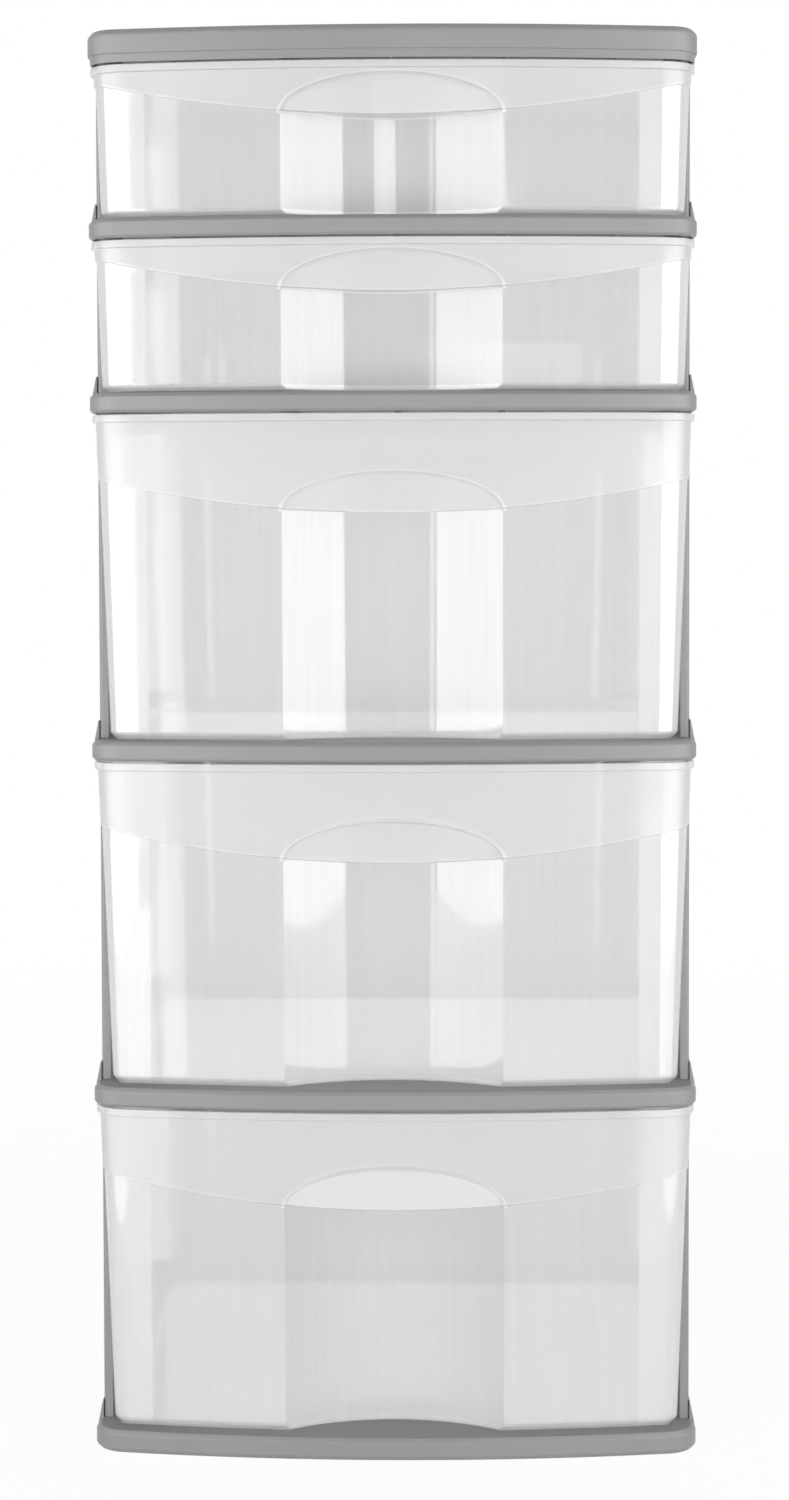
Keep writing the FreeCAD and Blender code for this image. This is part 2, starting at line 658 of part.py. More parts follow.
class DrawerPattern:
    """The one-piece moulding of a drawer, modelled once for each of the two heights."""

    def __init__(self, name, opening, smile_drop):
        """Keep the drawer's name and the sums that set its height and its smile line."""
        self.name = name
        self.height = f"({opening} - glide_clearance - rim_gap)"
        self.smile = f"({self.height} + rim_gap - {smile_drop})"

    def lean(self, level, angle="draft_angle"):
        """Return how far a drafted wall has moved in at a level, from where it is at the top."""
        return f"(({self.height} - ({level})) * tan({angle}))"

    def start_block(self, name, low, high):
        """Start a body that stands on a level, with a sketch on its upper end."""
        body = new_body(f"{self.name}_{name}", low)
        return body, body_sketch(body, f"{self.name}_{name}_outline", offset=f"({high} - {low})")

    def finish_block(self, body, length, angle, flat, bevel, corner=None):
        """Pad a block down from its sketch, draft its walls, round its corners and bevel its lower edges.

        The straight wall at the place flat, where the block meets its neighbour, stays upright.
        """
        name = body.Name
        sketch = body.Group[0]
        pad = add_feature(body, "Pad", f"{name}_pad", sketch, length, reverse=True)
        seam = value(flat)
        walls = []
        for number, face in enumerate(pad.Shape.Faces, start=1):
            room = face.BoundBox
            if room.ZLength < 1e-4:
                if room.ZMin > 1e-4:
                    top = f"Face{number}"
            elif abs(room.YMin - seam) > 1e-4 or abs(room.YMax - seam) > 1e-4:
                walls.append(f"Face{number}")
        draft = body.newObject("PartDesign::Draft", f"{name}_draft")
        draft.Base = (pad, walls)
        draft.NeutralPlane = (pad, [top])
        draft.Reversed = True
        bind(draft, "Angle", angle)
        body.Tip = draft
        doc.recompute()
        if corner:
            tall = value(length)

            def rear_upright(edge):
                """Tell whether an edge runs up one of the corners away from the seam."""
                room = edge.BoundBox
                return room.ZLength > tall / 2 and room.YMin > seam + tall * math.tan(math.radians(value(angle)))

            dress_edges(body, "Fillet", f"{name}_corners", "Radius", corner, rear_upright)
        if bevel:
            floor = at_height("0")

            def low_edge(edge):
                """Tell whether a bottom edge isn't the seam's."""
                room = edge.BoundBox
                at_seam = abs(room.YMin - seam) < 1e-4 and abs(room.YMax - seam) < 1e-4
                return floor(edge) and not at_seam

            dress_edges(body, "Chamfer", f"{name}_bevel", "Size", bevel, low_edge)
        return body

    def face_block(self, name, inset, low, high, back=SHOULDER, bevel=None):
        """Make the front part of the drawer, an even distance inside the band's outline."""
        body, sketch = self.start_block(name, low, high)
        inset = f"({inset} + {self.lean(high)})"
        bowed_outline(
            sketch,
            half=f"({FACE_HALF} - {inset})",
            apex=f"({FACE_APEX} + {inset})",
            bow=f"(bow_radius - {inset})",
            corner=f"(face_corner - {inset})",
            back=back,
        )
        return self.finish_block(body, f"({high} - {low})", "draft_angle", back, bevel)

    def tub_block(self, name, inset, low, high, front, bevel):
        """Make the part of the drawer behind the shoulders."""
        body, sketch = self.start_block(name, low, high)
        corner = f"(tub_corner - {inset})"
        inset = f"({inset} + {self.lean(high, 'tub_draft_angle')})"
        half = f"({TUB_HALF} - {inset})"
        rectangle(sketch, f"-{half}", half, front, f"({TUB_BACK} - {inset})")
        return self.finish_block(body, f"({high} - {low})", "tub_draft_angle", front, bevel, corner)

    def rim(self):
        """Make the rim's two blocks: the proud front one and the flat rear one."""
        low = f"({self.height} - rim_height)"
        front = level_sketch(f"{self.name}_rim_front_plan", low)
        bowed_outline(
            front,
            half=f"({FACE_HALF} + rim_proud)",
            apex=f"({FACE_APEX} - rim_proud)",
            bow="(bow_radius + rim_proud)",
            corner="(face_corner + rim_proud)",
            back=SHOULDER,
        )
        rear = level_sketch(f"{self.name}_rim_rear_plan", low)
        self.rim_plan(rear, "0")
        up = vector(0, 0, 1)
        return (
            extrude(f"{self.name}_rim_front", front, up, "rim_height"),
            extrude(f"{self.name}_rim_rear", rear, up, "rim_height"),
        )

    def rim_plan(self, sketch, inset):
        """Draw the rim's outline behind the shoulders."""
        tub_outline(
            sketch,
            half=f"({TUB_HALF} + side_rim_proud - {inset})",
            front=f"({SHOULDER} - 3 * drawer_wall)",
            back=f"({RIM_BACK} - {inset})",
            corner=f"(tub_corner - {inset})",
        )

    def curtain(self):
        """Make the thin wall that hangs from the rear rim, with its deep middle and two stop tabs."""
        name = f"{self.name}_curtain"
        low = f"({self.height} - centre_tab_drop)"
        tall = "(centre_tab_drop + tab_rise)"
        shells = []
        for part, inset in (("outside", "0"), ("inside", "curtain_thickness")):
            sketch = level_sketch(f"{name}_{part}_plan", low)
            self.rim_plan(sketch, inset)
            shells.append(extrude(f"{name}_{part}", sketch, vector(0, 0, 1), tall))
        ring = combine("Cut", f"{name}_ring", *shells)
        near = f"({RIM_BACK} - tub_corner)"
        far = f"({RIM_BACK} + overrun)"
        half = f"({TUB_HALF} + side_rim_proud)"
        shapes = [
            box(f"{name}_edge", f"-{half}", half, near, far,
                f"({self.height} - curtain_drop)", self.height),
            box(f"{name}_middle", "-centre_tab_half_width", "centre_tab_half_width", near, far,
                f"({self.height} - centre_tab_drop)", self.height),
        ]
        for side, word in (("-1", "left"), ("1", "right")):
            place = f"{side} * tab_place"
            foot = f"({self.height} - tab_drop + tab_radius)"
            shapes.append(box(f"{name}_{word}_tab", f"({place} - tab_radius)", f"({place} + tab_radius)",
                              near, far, foot, f"({self.height} + tab_rise)"))
            end = doc.addObject("Part::Prism", f"{name}_{word}_tab_end")
            lay_along_y(end)
            end.Polygon = TAB_SIDES
            bind(end, "Circumradius", "tab_radius")
            bind(end, "Height", "(tub_corner + overrun)")
            bind(end, "Placement.Base.x", place)
            bind(end, "Placement.Base.y", far)
            bind(end, "Placement.Base.z", foot)
            shapes.append(end)
        return combine("Common", name, ring, fuse(f"{name}_shape", *shapes))

    def smile_drum(self):
        """Make the large drum whose lower side is the band's curved lower edge."""
        drum = doc.addObject("Part::Cylinder", f"{self.name}_smile_drum")
        lay_along_y(drum)
        radius = "((smile_reach ^ 2 + smile_sagitta ^ 2) / (2 * smile_sagitta))"
        bind(drum, "Radius", radius)
        bind(drum, "Height", "(tower_depth / 2 + overrun)")
        bind(drum, "Placement.Base.z", f"({self.smile} + {radius})")
        return drum

    def arch(self, name, margin):
        """Make the pull's arched opening as a block that runs from front to back."""
        start = f"({FRONT} - overrun)"
        reach = "(pull_depth * 3)"
        half = f"(pull_half_width + {margin})"
        crown = doc.addObject("Part::Ellipse", f"{self.name}_{name}_crown")
        lay_along_y(crown)
        bind(crown, "MajorRadius", half)
        bind(crown, "MinorRadius", f"(pull_rise + {margin})")
        bind(crown, "Placement.Base.y", start)
        bind(crown, "Placement.Base.z", self.smile)
        dome = extrude(f"{self.name}_{name}_dome", crown, vector(0, 1, 0), reach)
        shaft = box(f"{self.name}_{name}_shaft", f"-{half}", half, start, f"({start} + {reach})",
                    "-overrun", self.smile)
        return fuse(f"{self.name}_{name}_block", dome, shaft)

    def pull_column(self, name, margin):
        """Make the leaning column whose round back is the pull's recess."""
        radius = "((pull_half_width ^ 2 + pull_depth ^ 2) / (2 * pull_depth))"
        inset = f"(band_step + {self.lean('0')})"
        bow = f"(bow_radius - {inset})"
        edge = f"({FACE_APEX} + {inset} + {bow} - sqrt({bow} ^ 2 - pull_half_width ^ 2))"
        column = doc.addObject("Part::Cylinder", f"{self.name}_{name}")
        column.Placement = FreeCAD.Placement(
            vector(), FreeCAD.Rotation(vector(1, 0, 0), value("draft_angle")))
        bind(column, "Placement.Rotation.Angle", "draft_angle")
        bind(column, "Radius", f"({radius} + {margin})")
        bind(column, "Height", f"({self.height} + 2 * overrun)")
        bind(column, "Placement.Base.y", f"({edge} + pull_depth - {radius} + overrun * tan(draft_angle))")
        bind(column, "Placement.Base.z", "-overrun")
        return column

    def make(self):
        """Make the whole moulding."""
        name = self.name
        top = self.height
        above = f"({self.height} + overrun)"
        face = self.face_block("face", "band_step", "0", top, bevel="bottom_bevel")
        band_block = self.face_block("band_block", "0", "0", top)
        band = combine("Common", f"{name}_band", band_block, self.smile_drum())
        tub = self.tub_block("tub", "0", "0", top, f"({SHOULDER} - 3 * drawer_wall)", "bottom_bevel")
        face_room = self.face_block("face_room", "(band_step + drawer_wall)", "drawer_wall", above,
                                    f"({SHOULDER} - drawer_wall)", "inner_bottom_bevel")
        tub_room = self.tub_block("tub_room", "drawer_wall", "drawer_wall", above,
                                  f"({SHOULDER} - 2 * drawer_wall)", "inner_bottom_bevel")
        outside = fuse(f"{name}_outside", face, band, tub, *self.rim(), self.curtain())
        room = fuse(f"{name}_room", face_room, tub_room)
        shell = combine("Cut", f"{name}_shell", outside, room)
        hood = combine("Common", f"{name}_hood", self.arch("hood_arch", "drawer_wall"),
                       self.pull_column("hood_column", "drawer_wall"))
        pocket = combine("Common", f"{name}_pocket", self.arch("pull_arch", "0"),
                         self.pull_column("pull_column", "0"))
        hood_wall = combine("Common", f"{name}_hood_wall", hood, face)
        with_hood = fuse(f"{name}_with_hood", shell, hood_wall)
        mouth = combine("Cut", f"{name}_pull_mouth", pocket, self.smile_drum())
        behind = combine("Common", f"{name}_pull_behind", pocket, face_room)
        air = fuse(f"{name}_pull_air", mouth, behind)
        moulding = combine("Cut", name, with_hood, air)
        moulding.Refine = True
        doc.recompute()
        return moulding


def place_drawer(name, pattern, tier):
    """Set a copy of a moulding in its tier."""
    copy = doc.addObject("Part::Compound", name)
    copy.Label = name
    copy.Links = [pattern]
    bind(copy, "Placement.Base.z", f"({floor_of(tier)} + glide_clearance)")
    return copy


def build():
    """Build every piece and return them in order from the top."""
    pieces = [make_lid()]
    for tier in range(1, TIER_COUNT):
        pieces.append(make_shelf(f"shelf_{tier}", floor_of(tier)))
    pieces.append(make_base())
    for tier in range(1, TIER_COUNT + 1):
        pieces.append(make_side_panel(f"left_panel_{tier}", -1, tier))
        pieces.append(make_side_panel(f"right_panel_{tier}", 1, tier))
        pieces.append(make_back_panel(f"back_panel_{tier}", tier))
    shallow = DrawerPattern("shallow_drawer", "shallow_opening", "shallow_smile_drop").make()
    deep = DrawerPattern("deep_drawer", "deep_opening", "deep_smile_drop").make()
    for tier in range(1, TIER_COUNT + 1):
        pattern = shallow if tier <= SHALLOW_COUNT else deep
        pieces.append(place_drawer(f"drawer_{tier}", pattern, tier))
    doc.recompute()
    return pieces


def check(pieces):
    """Stop with a message if any object failed or any piece isn't one sound solid."""
    for thing in doc.Objects:
        if "Invalid" in thing.State or "Error" in thing.State:
            raise RuntimeError(f"{thing.Label} failed: {thing.State}")
    for piece in pieces:
        shape = piece.Shape
        if shape.isNull() or not shape.isValid():
            raise RuntimeError(f"{piece.Label} has no valid shape")
        if len(shape.Solids) != 1:
            raise RuntimeError(f"{piece.Label} has {len(shape.Solids)} solids")


def write(pieces):
    """Write each piece to its own file."""
    os.makedirs("parts", exist_ok=True)
    for piece in pieces:
        piece.Shape.exportStep(f"parts/{piece.Label}.step")


fill_sheet()
tower = build()
check(tower)
write(tower)
print(f"Each drawer slides out by {value(TRAVEL):.1f}")
for made in tower:
    size = made.Shape.BoundBox
    print(f"{made.Label}: {made.Shape.Volume / 1000:.1f} cm3, x {size.XMin:.1f} to {size.XMax:.1f}, "
          f"y {size.YMin:.1f} to {size.YMax:.1f}, z {size.ZMin:.1f} to {size.ZMax:.1f}")
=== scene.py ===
"""Plastic drawer tower: a grey moulded frame with five clear drawers, in a plain white studio.

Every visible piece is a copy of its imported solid, with the rounded edges that a mould leaves. Lengths are
in metres, angles in degrees and heights from the floor, in the frame that the solids are in.
"""

import json
import logging
import math
from collections.abc import Iterator
from dataclasses import dataclass
from enum import Enum, IntEnum
from typing import Any, Optional, Union

import bmesh
import bpy
from mathutils import Matrix, Vector
from mathutils.bvhtree import BVHTree
from mathutils.geometry import intersect_point_line
from mathutils.interpolate import poly_3d_calc


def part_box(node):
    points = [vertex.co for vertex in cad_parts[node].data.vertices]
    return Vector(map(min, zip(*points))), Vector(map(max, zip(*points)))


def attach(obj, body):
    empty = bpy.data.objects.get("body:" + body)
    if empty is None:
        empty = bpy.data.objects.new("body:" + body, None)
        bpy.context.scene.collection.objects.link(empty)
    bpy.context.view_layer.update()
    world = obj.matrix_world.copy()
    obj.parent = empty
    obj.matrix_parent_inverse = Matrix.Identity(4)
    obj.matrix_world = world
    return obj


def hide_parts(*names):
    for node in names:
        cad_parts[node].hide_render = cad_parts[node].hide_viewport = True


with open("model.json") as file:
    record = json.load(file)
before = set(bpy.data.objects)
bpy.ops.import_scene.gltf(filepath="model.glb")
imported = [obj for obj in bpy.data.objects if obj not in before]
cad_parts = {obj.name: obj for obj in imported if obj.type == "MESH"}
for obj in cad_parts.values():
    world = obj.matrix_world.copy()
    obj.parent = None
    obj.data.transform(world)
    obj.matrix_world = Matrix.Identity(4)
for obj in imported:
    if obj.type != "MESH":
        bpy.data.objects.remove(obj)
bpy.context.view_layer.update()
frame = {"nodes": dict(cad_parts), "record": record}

log = logging.getLogger("drawer_tower")

Colour = tuple[float, float, float]
Number = Union[float, "Socket"]

WHITE = (1.0, 1.0, 1.0, 1.0)


class Axis(Enum):
    """The three outputs of a Separate XYZ node."""

    ACROSS = "X"
    DEEP = "Y"
    UP = "Z"


class Ray(Enum):
    """The kinds of ray that the materials tell apart, by the outputs of a Light Path node."""

    CAMERA = "Is Camera Ray"
    SHADOW = "Is Shadow Ray"
    DIFFUSE = "Is Diffuse Ray"
    GLOSSY = "Is Glossy Ray"
    TRANSMISSION = "Is Transmission Ray"


class LampUse(Enum):
    """What a lamp is there for."""

    LIGHT = "lights the surfaces and isn't seen in gloss"
    GLOSS = "is seen in gloss only"
    BOTH = "lights the surfaces and is seen in gloss"


class FacePlace(IntEnum):
    """The material places that tell a piece's faces apart while its edges are rounded."""

    MAIN = 0
    STRIP = 1


class Socket:
    """One output of a shader node, which can be used in Python sums."""

    def __init__(self, sheet: "NodeSheet", link: bpy.types.NodeSocket) -> None:
        """Keep the output and the sheet that it is on."""
        self.sheet = sheet
        self.link = link

    def _maths(self, operation: str, *values: Number) -> "Socket":
        """Add a Math node for an operation on some values."""
        return self.sheet.add("ShaderNodeMath", {"operation": operation}, dict(enumerate(values)))

    def __add__(self, other: Number) -> "Socket":
        """Add."""
        return self._maths("ADD", self, other)

    def __radd__(self, other: Number) -> "Socket":
        """Add to a number."""
        return self._maths("ADD", other, self)

    def __sub__(self, other: Number) -> "Socket":
        """Subtract."""
        return self._maths("SUBTRACT", self, other)

    def __rsub__(self, other: Number) -> "Socket":
        """Subtract from a number."""
        return self._maths("SUBTRACT", other, self)

    def __mul__(self, other: Number) -> "Socket":
        """Multiply."""
        return self._maths("MULTIPLY", self, other)

    def __rmul__(self, other: Number) -> "Socket":
        """Multiply a number."""
        return self._maths("MULTIPLY", other, self)

    def __pow__(self, other: Number) -> "Socket":
        """Raise to a power."""
        return self._maths("POWER", self, other)

    def __rpow__(self, other: Number) -> "Socket":
        """Raise a number to this power."""
        return self._maths("POWER", other, self)

    def __gt__(self, other: Number) -> "Socket":
        """Give 1 where this is the greater one, else 0."""
        return self._maths("GREATER_THAN", self, other)

    def __lt__(self, other: Number) -> "Socket":
        """Give 1 where this is the smaller one, else 0."""
        return self._maths("LESS_THAN", self, other)

    def ramp(self, low: float, high: float, start: float = 0.0, end: float = 1.0) -> "Socket":
        """Turn a range of values smoothly into another.

        Args:
            low: The value at which the result is start.
            high: The value at which the result is end.
            start: The result at low and before it.
            end: The result at high and after it.

        Returns:
            The new value.
        """
        return self.sheet.add(
            "ShaderNodeMapRange",
            {"interpolation_type": "SMOOTHSTEP", "clamp": True},
            {"Value": self, "From Min": low, "From Max": high, "To Min": start, "To Max": end},
        )


class NodeSheet:
    """The nodes of one material or of the world."""

    def __init__(self, tree: bpy.types.NodeTree) -> None:
        """Start with an empty tree."""
        self.tree = tree
        self.tree.nodes.clear()

    def add(
        self,
        kind: str,
        settings: Optional[dict[str, Any]] = None,
        values: Optional[dict[Any, Any]] = None,
        output: Union[int, str] = 0,
    ) -> Socket:
        """Add one node of any type.

        Args:
            kind: The node's type name.
            settings: Its own properties, which are set first.
            values: A number, colour or link for each socket, by the socket's name or place.
            output: The output that the result stands for.

        Returns:
            That output, or the first input of a node that has no outputs.
        """
        node = self.tree.nodes.new(kind)
        for name, setting in (settings or {}).items():
            setattr(node, name, setting)
        for name, entry in (values or {}).items():
            if isinstance(entry, Socket):
                self.tree.links.new(entry.link, node.inputs[name])
            else:
                node.inputs[name].default_value = entry
        return Socket(self, node.outputs[output] if len(node.outputs) else node.inputs[0])

    def place(self) -> Socket:
        """Return the object coordinates."""
        return self.add("ShaderNodeTexCoord", output="Object")

    def along(self, axis: Axis) -> Socket:
        """Return one object coordinate."""
        return self.add("ShaderNodeSeparateXYZ", values={0: self.place()}, output=axis.value)

    def noise(self, scale: float, detail: float = 2.0, along_up: float = 1.0) -> Socket:
        """Return a noise pattern.

        Args:
            scale: How many grains there are in a metre.
            detail: How many finer layers the noise has.
            along_up: The share of the grains that is left along the height, under 1 for tall ones.

        Returns:
            The noise, which runs from about 0.25 to 0.75.
        """
        stretch = (1.0, 1.0, along_up)
        point = self.add("ShaderNodeMapping", values={"Vector": self.place(), "Scale": stretch})
        return self.add("ShaderNodeTexNoise", values={"Vector": point, "Scale": scale, "Detail": detail})

    def rays(self, *kinds: Ray) -> Socket:
        """Return 1 for a ray of any of these kinds, else 0."""
        return sum(self.add("ShaderNodeLightPath", output=kind.value) for kind in kinds).ramp(0.0, 1.0)

    def bump(self, height: Socket, strength: float, distance: float) -> Socket:
        """Return a surface direction that follows a height pattern."""
        values = {"Strength": strength, "Distance": distance, "Height": height}
        return self.add("ShaderNodeBump", values=values)

    def tint(self, first: Colour, second: Colour, amount: Socket) -> Socket:
        """Blend two colours.

        Args:
            first: The colour where the amount is 0.
            second: The colour where the amount is 1.
            amount: How much of the second colour there is.

        Returns:
            The blended colour.
        """
        return self.add(
            "ShaderNodeMix",
            {"data_type": "RGBA"},
            {"Factor": amount, 6: (*first, 1.0), 7: (*second, 1.0)},
            output=2,
        )

    def finish(self, surface: Socket) -> None:
        """Send a shader to the output.

        Args:
            surface: The shader of the whole surface or of the world.
        """
        of_world = isinstance(self.tree.id_data, bpy.types.World)
        kind = "ShaderNodeOutputWorld" if of_world else "ShaderNodeOutputMaterial"
        self.add(kind, values={"Surface": surface})


def new_material(name: str) -> tuple[bpy.types.Material, NodeSheet]:
    """Start a material.

    Args:
        name: The material's name.

    Returns:
        The new material and its empty node sheet.
    """
    material = bpy.data.materials.new(name)
    material.use_nodes = True
    return material, NodeSheet(material.node_tree)


@dataclass(frozen=True)
class MouldedGrey:
    """The frame's satin grey plastic, slightly cloudy, with the fine grain of its mould.

    Attributes:
        cloud_start: The noise up to which the plastic has its dark colour.
        cloud_end: The noise from which it has its light one.
        shine: How strongly it reflects.
        detail: How many finer layers the clouds and the grain have.
        grain_roughness: How much the roughness changes with the grain.
        grain_strength: How much of the grain's height shows.
    """

    name: str = "frame_grey"
    dark: Colour = (0.354, 0.355, 0.358)
    light: Colour = (0.370, 0.371, 0.373)
    cloud_scale: float = 14.0
    cloud_start: float = 0.3
    cloud_end: float = 0.7
    dark_roughness: float = 0.40
    light_roughness: float = 0.45
    shine: float = 0.25
    detail: float = 3.0
    grain_scale: float = 900.0
    grain_roughness: float = 0.1
    grain_strength: float = 0.25
    grain_height: float = 0.00008

    def make(self) -> bpy.types.Material:
        """Build the material.

        Returns:
            The finish of every piece of the frame.
        """
        material, sheet = new_material(self.name)
        grain = sheet.noise(self.grain_scale, self.detail)
        cloud = sheet.noise(self.cloud_scale, self.detail)
        span = self.cloud_start, self.cloud_end
        roughness = cloud.ramp(*span, self.dark_roughness, self.light_roughness)
        surface = sheet.add(
            "ShaderNodeBsdfPrincipled",
            values={
                "Base Color": sheet.tint(self.dark, self.light, cloud.ramp(*span)),
                "Roughness": roughness + (grain - 0.5) * self.grain_roughness,
                "Specular IOR Level": self.shine,
                "Normal": sheet.bump(grain, self.grain_strength, self.grain_height),
            },
        )
        sheet.finish(surface)
        return material


@dataclass(frozen=True)
class SmileLine:
    """The line in which a drawer's frosted band ends: the lowest stretch of a wide circle.

    Attributes:
        lowest: The height of the line's middle.
        radius: The circle's radius.
    """

    lowest: float
    radius: float = 0.690

    def centre(self) -> float:
        """Return the height of the circle's centre."""
        return self.lowest + self.radius

    def outside(self, across: Socket, up: Socket) -> Socket:
        """Return how far a place lies outside the circle, which is below the line."""
        climb = up - self.centre()
        return (across * across + climb * climb) ** 0.5 - self.radius


@dataclass(frozen=True)
class PullArch:
    """The low arch over a drawer's pull: half an oval that stands on the smile line.

    Attributes:
        half_width: Half of the oval's width.
        rise: Its height.
        lift: How far its foot lies above the smile line's middle.
    """

    half_width: float = 0.0575
    rise: float = 0.021
    lift: float = 0.001

    def outside(self, across: Socket, up: Socket, smile: SmileLine) -> tuple[Socket, Socket]:
        """Return how far a place lies outside the oval, and a mask of the side above its foot."""
        climb = (up - (smile.lowest + self.lift)) * (self.half_width / self.rise)
        return (across * across + climb * climb) ** 0.5 - self.half_width, climb > 0.0


@dataclass(frozen=True)
class RearCurtain:
    """A drawer's rear curtain, which hangs from the rim, with two round tabs that meet the stops.

    Attributes:
        front: How far back the curtain begins.
        drop: How far its ends reach down from the rim.
        middle_drop: How far its middle reaches down.
        middle_half: Half of the middle's width.
        middle_cover: How much of the curtain's cover its middle has.
        tab_place: How far each tab lies to the side.
        tab_radius: The tab's radius.
        tab_depth: How far the tab's centre lies below the rim.
    """

    front: float = 0.150
    drop: float = 0.0088
    middle_drop: float = 0.0145
    middle_half: float = 0.084
    middle_cover: float = 0.4
    tab_place: float = 0.131
    tab_radius: float = 0.009
    tab_depth: float = 0.0048

    def mask(self, across: Socket, deep: Socket, up: Socket, rim: float) -> Socket:
        """Find the curtain.

        Args:
            across: The place across the drawer.
            deep: The place along its depth.
            up: The height.
            rim: The height of the drawer's rim.

        Returns:
            1 on the curtain's edge and its tabs, less on its middle, and 0 elsewhere.
        """
        beside = (across * across) ** 0.5 - self.tab_place
        above = up - (rim - self.tab_depth)
        tabs = (beside * beside + above * above) < self.tab_radius ** 2
        edge = up > rim - self.drop
        middle = (up > rim - self.middle_drop) * (across * across < self.middle_half ** 2)
        return (tabs + edge + middle * self.middle_cover).ramp(0.0, 1.0) * (deep > self.front)


